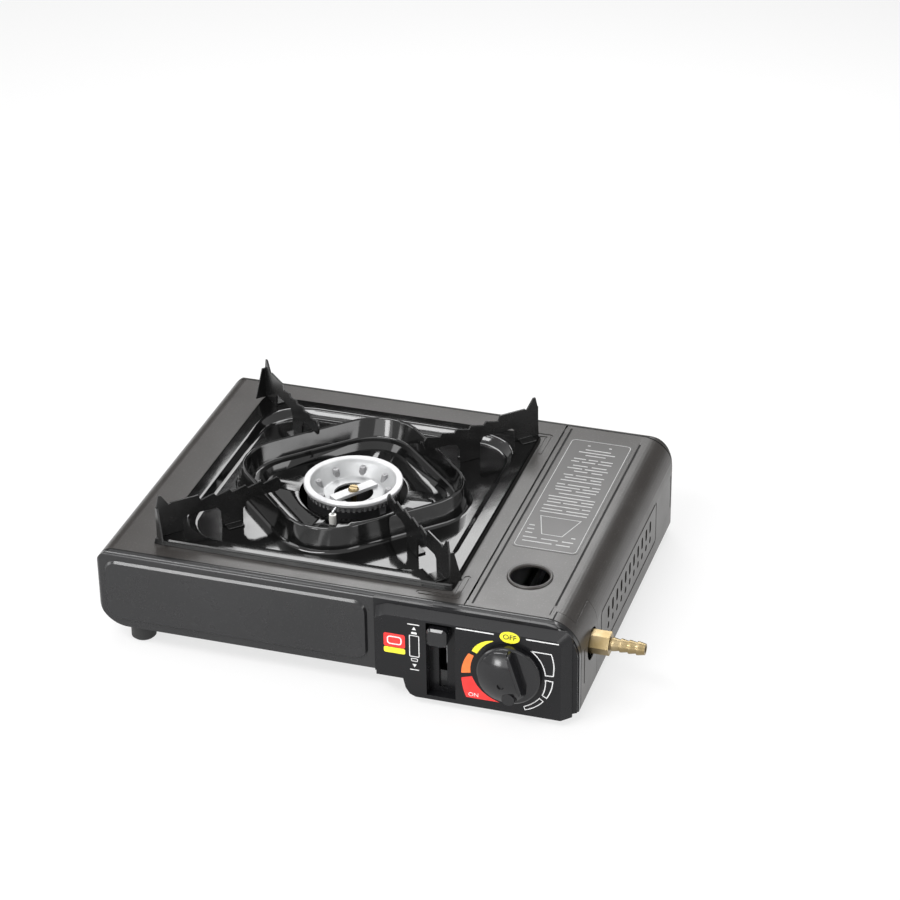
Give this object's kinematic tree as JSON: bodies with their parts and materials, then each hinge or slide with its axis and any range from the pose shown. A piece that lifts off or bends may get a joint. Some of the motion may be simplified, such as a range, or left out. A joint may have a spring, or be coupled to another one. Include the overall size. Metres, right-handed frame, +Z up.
{
  "type": "portable butane cassette stove",
  "caption": "Portable butane cassette stove: sheet-metal case, square drip tray, toothed pan supports, hinged gas lid, lock lever, igniting knob and side hose barb.",
  "frame": {"origin": "middle of the stove's bounding box at the level of the table, under the feet", "axes": "+X to the user's right, towards the gas bay and the hose barb; +Y from the control panel to the back; +Z up"},
  "size_m": [0.382, 0.2864, 0.1115],
  "materials": {
    "case_paint": "satin dark brown-grey paint",
    "front_paint": "satin charcoal paint",
    "label_print": "grey print",
    "panel_plastic": "fine-grained black",
    "control_plastic": "semi-matte black",
    "steel_bright": "zinc plated",
    "steel_dull": "galvanised sheet",
    "alloy_grey": "die cast",
    "alloy_dark": "dark die cast",
    "alloy_bright": "bright machined",
    "brass": "machined",
    "valve_brass": "forged",
    "ceramic_white": "glazed ceramic",
    "piezo_plastic": "moulded",
    "plunger_plastic": "moulded red",
    "lead_rubber": "red silicone",
    "enamel": "glossy black enamel",
    "foot_rubber": "matte black"
  },
  "bodies": {
    "stove": {"base_pan": "case_paint", "top_plate": "case_paint", "rear_frame": "case_paint", "side_cheek": "case_paint", "front_frame": "front_paint", "control_panel": "panel_plastic", "lid_hinge_pins": "steel_bright", "lever_leaf_spring": "steel_bright", "carriage_guides": "steel_bright", "collar_guide": "steel_bright", "electrode_pin": "steel_bright", "jet_bracket": "steel_bright", "burner_bracket": "steel_bright", "foot_screws": "steel_bright", "heat_shield": "steel_dull", "regulator": "alloy_grey", "air_shutter": "alloy_grey", "mixing_tube": "alloy_grey", "burner_body": "alloy_dark", "burner_cap": "alloy_bright", "burner_crossbar": "alloy_bright", "hose_barb": "brass", "inlet_fitting": "brass", "burner_screw": "brass", "jet_nozzle": "brass", "gas_pipe": "brass", "valve_body": "valve_brass", "electrode_ceramic": "ceramic_white", "piezo_igniter": "piezo_plastic", "igniter_lead": "lead_rubber", "foot_front_left": "foot_rubber", "foot_rear_left": "foot_rubber", "foot_front_right": "foot_rubber", "foot_rear_right": "foot_rubber"},
    "lid": {"gas_lid": "case_paint", "lid_label": "label_print"},
    "knob": {"knob": "control_plastic", "valve_spindle": "brass"},
    "plunger": {"piezo_plunger": "plunger_plastic"},
    "lever": {"lock_lever": "control_plastic"},
    "carriage": {"cartridge_carriage": "steel_bright"},
    "tray": {"drip_tray": "enamel", "pan_support_front_left": "enamel", "pan_support_front_right": "enamel", "pan_support_rear_right": "enamel", "pan_support_rear_left": "enamel"}
  },
  "joints": [
    {"name": "lid_hinge", "type": "hinge", "parent": "stove", "child": "lid", "pos_m": [0.151, 0.0112, 0.0102], "axis": [0, 1, 0], "range_deg": [0, 90]},
    {"name": "knob_turn", "type": "hinge", "parent": "stove", "child": "knob", "pos_m": [0.109, -0.1308, 0.0375], "axis": [0, -1, 0], "range_deg": [0, 120]},
    {"name": "plunger_press", "type": "slide", "parent": "stove", "child": "plunger", "axis": [0, 0, -1], "range_m": [0, 0.00375]},
    {"name": "lever_slide", "type": "slide", "parent": "stove", "child": "lever", "axis": [0, 0, -1], "range_m": [0, 0.028]},
    {"name": "carriage_slide", "type": "slide", "parent": "stove", "child": "carriage", "axis": [0, -1, 0], "range_m": [0, 0.007]},
    {"name": "tray_lift", "type": "slide", "parent": "stove", "child": "tray", "axis": [0, 0, 1], "range_m": [0, 0.12]}
  ],
  "couplings": [
    {"joint": "plunger_press", "follows": "knob_turn", "m_per_rad": 0.00179},
    {"joint": "carriage_slide", "follows": "lever_slide", "ratio": 0.25}
  ]
}
